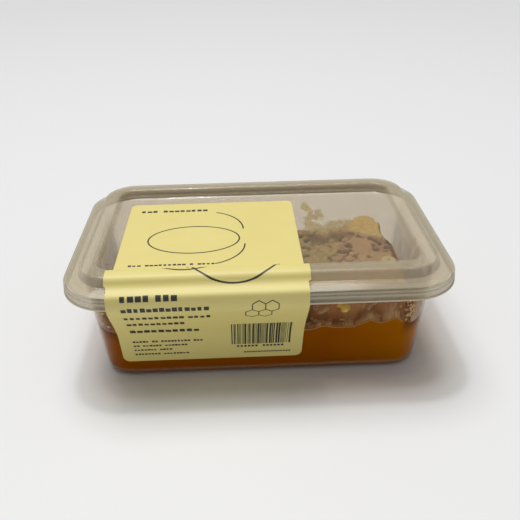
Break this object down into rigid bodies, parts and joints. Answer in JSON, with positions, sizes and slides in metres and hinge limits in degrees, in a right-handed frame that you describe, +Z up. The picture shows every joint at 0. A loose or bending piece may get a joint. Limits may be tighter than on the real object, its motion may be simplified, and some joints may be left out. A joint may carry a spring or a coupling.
{
  "type": "packed honeycomb tub",
  "caption": "Closed clear plastic tub with a press-on lid and wrapped paper label, holding a cut block of honeycomb standing in honey.",
  "frame": {"origin": "middle of the tub's underside, on the surface it stands on", "axes": "+Z up, +X along the tub's length, -Y is the labelled front"},
  "size_m": [0.172, 0.1186, 0.0562],
  "materials": {
    "tub_plastic": "clear thin polypropylene, smooth and glossy",
    "lid_plastic": "translucent polypropylene, slightly milky, soft gloss",
    "label_paper": "pale yellow printed paper with plain dark shapes, satin",
    "comb_wax": "beeswax cappings, moist, beige to golden",
    "honey_amber": "dark amber honey, clear and glossy"
  },
  "bodies": {
    "root": {"tub": "tub_plastic", "lid": "lid_plastic", "label": "label_paper", "honeycomb": "comb_wax", "honey": "honey_amber"}
  },
  "joints": []
}
